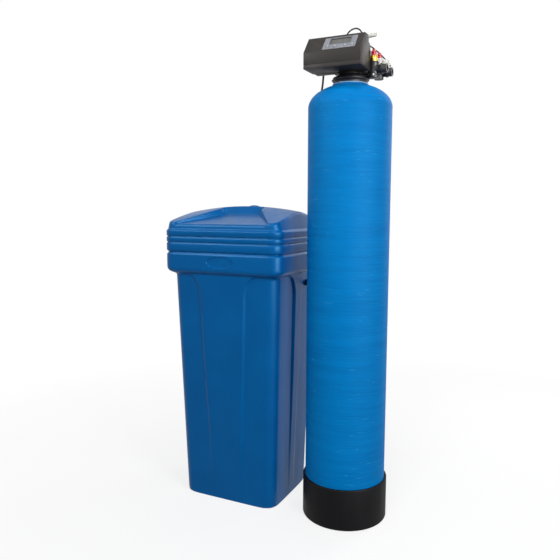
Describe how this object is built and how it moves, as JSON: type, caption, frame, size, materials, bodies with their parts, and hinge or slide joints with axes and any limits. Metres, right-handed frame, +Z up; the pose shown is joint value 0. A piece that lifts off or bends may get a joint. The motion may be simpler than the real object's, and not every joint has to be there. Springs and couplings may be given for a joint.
{
  "type": "water softener",
  "caption": "Water softener: tall wound pressure tank in a base cup with a rotary control valve, bypass taps and meter, beside a brine tank with a crowned lid, well and float.",
  "frame": {"origin": "the pressure tank's axis on the floor", "axes": "+Z up along the pressure tank; the control panel faces -Y; the brine tank stands on the -X side"},
  "size_m": [0.7375, 0.375, 1.5247],
  "materials": {
    "shell_blue": "wound glass fibre, glossy",
    "liner": "natural polyethylene",
    "boot_black": "black, slightly rough",
    "white_plastic": "white moulded",
    "grey_plastic": "grey moulded",
    "resin": "amber beads",
    "valve_black": "glass-filled black",
    "case_charcoal": "charcoal satin",
    "overlay_grey": "printed film",
    "lens": "clear window",
    "lcd": "grey-green display",
    "board": "printed circuit board",
    "button_grey": "soft grey",
    "ceramic": "lapped ceramic",
    "steel": "stainless",
    "brass": "machined",
    "red_plastic": "red moulded",
    "seal_rubber": "black rubber",
    "cord_black": "black flexible",
    "tank_blue": "rotationally moulded, satin",
    "turbine_blue": "blue moulded",
    "float_red": "moulded float"
  },
  "bodies": {
    "frame": {"tank_shell": "shell_blue", "tank_liner": "liner", "neck_ring": "grey_plastic", "tank_boot": "boot_black", "riser_tube": "white_plastic", "bottom_distributor": "grey_plastic", "top_strainer": "grey_plastic", "resin_bed": "resin", "valve_body": "valve_black", "valve_bonnet": "valve_black", "seal_rings": "seal_rubber", "steel_screws": "steel", "fixed_disc": "ceramic", "drive_motor": "steel", "gear_plate": "valve_black", "rear_housing": "case_charcoal", "front_cover": "case_charcoal", "panel_overlay": "overlay_grey", "display_lens": "lens", "lcd_module": "lcd", "control_board": "board", "power_jack": "valve_black", "cable_gland": "valve_black", "sensor_cable": "cord_black", "brine_elbow": "valve_black", "brine_nut": "valve_black", "brine_line": "cord_black", "drain_elbow": "white_plastic", "bypass_body": "valve_black", "retaining_clips": "steel", "inlet_gland": "brass", "outlet_gland": "white_plastic", "meter_cap": "white_plastic", "meter_sensor": "valve_black", "brine_tank": "tank_blue", "brine_well": "white_plastic", "salt_grid": "grey_plastic", "brine_valve_body": "valve_black", "pickup_tube": "white_plastic", "air_check_cage": "grey_plastic", "brine_gland": "valve_black", "overflow_fitting": "valve_black"},
    "lid": {"brine_lid": "tank_blue"},
    "well_cap": {"well_cap": "white_plastic"},
    "float": {"float_cup": "float_red", "float_rod": "steel"},
    "check_ball": {"air_check_ball": "float_red"},
    "rotor": {"rotor_shaft": "grey_plastic", "moving_disc": "ceramic", "drive_gear": "white_plastic"},
    "pinion": {"motor_pinion": "brass"},
    "turbine": {"turbine": "turbine_blue"},
    "inlet_tap": {"inlet_plug": "grey_plastic", "inlet_handle": "red_plastic"},
    "outlet_tap": {"outlet_plug": "grey_plastic", "outlet_handle": "red_plastic"},
    "key_menu": {"button_menu": "button_grey"},
    "key_manual": {"button_manual": "button_grey"},
    "key_down": {"button_down": "button_grey"},
    "key_up": {"button_up": "button_grey"}
  },
  "joints": [
    {"name": "lid_lift", "type": "slide", "parent": "frame", "child": "lid", "axis": [0, 0, 1], "range_m": [0, 0.15]},
    {"name": "well_cap_lift", "type": "slide", "parent": "frame", "child": "well_cap", "axis": [0, 0, 1], "range_m": [0, 0.03]},
    {"name": "float_rise", "type": "slide", "parent": "frame", "child": "float", "axis": [0, 0, 1], "range_m": [0, 0.025]},
    {"name": "check_ball_rise", "type": "slide", "parent": "frame", "child": "check_ball", "axis": [0, 0, 1], "range_m": [0, 0.03]},
    {"name": "rotor_turn", "type": "hinge", "parent": "frame", "child": "rotor", "pos_m": [0, 0, 1.44], "axis": [0, 1, 0], "continuous": true},
    {"name": "pinion_turn", "type": "hinge", "parent": "frame", "child": "pinion", "pos_m": [-0.04063, 0, 1.44], "axis": [0, 1, 0], "continuous": true},
    {"name": "turbine_spin", "type": "hinge", "parent": "frame", "child": "turbine", "pos_m": [0.1, 0.058, 1.41], "axis": [1, 0, 0], "continuous": true},
    {"name": "inlet_tap_turn", "type": "hinge", "parent": "frame", "child": "inlet_tap", "pos_m": [0.072, 0.002, 1.41], "axis": [0, 0, 1], "range_deg": [0, 90]},
    {"name": "outlet_tap_turn", "type": "hinge", "parent": "frame", "child": "outlet_tap", "pos_m": [0.072, 0.058, 1.41], "axis": [0, 0, 1], "range_deg": [0, 90]},
    {"name": "press_menu", "type": "slide", "parent": "frame", "child": "key_menu", "axis": [0, 0.7747, -0.6324], "range_m": [0, 0.001], "stiffness_N_per_m": 400},
    {"name": "press_manual", "type": "slide", "parent": "frame", "child": "key_manual", "axis": [0, 0.7747, -0.6324], "range_m": [0, 0.001], "stiffness_N_per_m": 400},
    {"name": "press_down", "type": "slide", "parent": "frame", "child": "key_down", "axis": [0, 0.7747, -0.6324], "range_m": [0, 0.001], "stiffness_N_per_m": 400},
    {"name": "press_up", "type": "slide", "parent": "frame", "child": "key_up", "axis": [0, 0.7747, -0.6324], "range_m": [0, 0.001], "stiffness_N_per_m": 400}
  ],
  "couplings": [
    {"joint": "pinion_turn", "follows": "rotor_turn", "ratio": -2.8571}
  ]
}
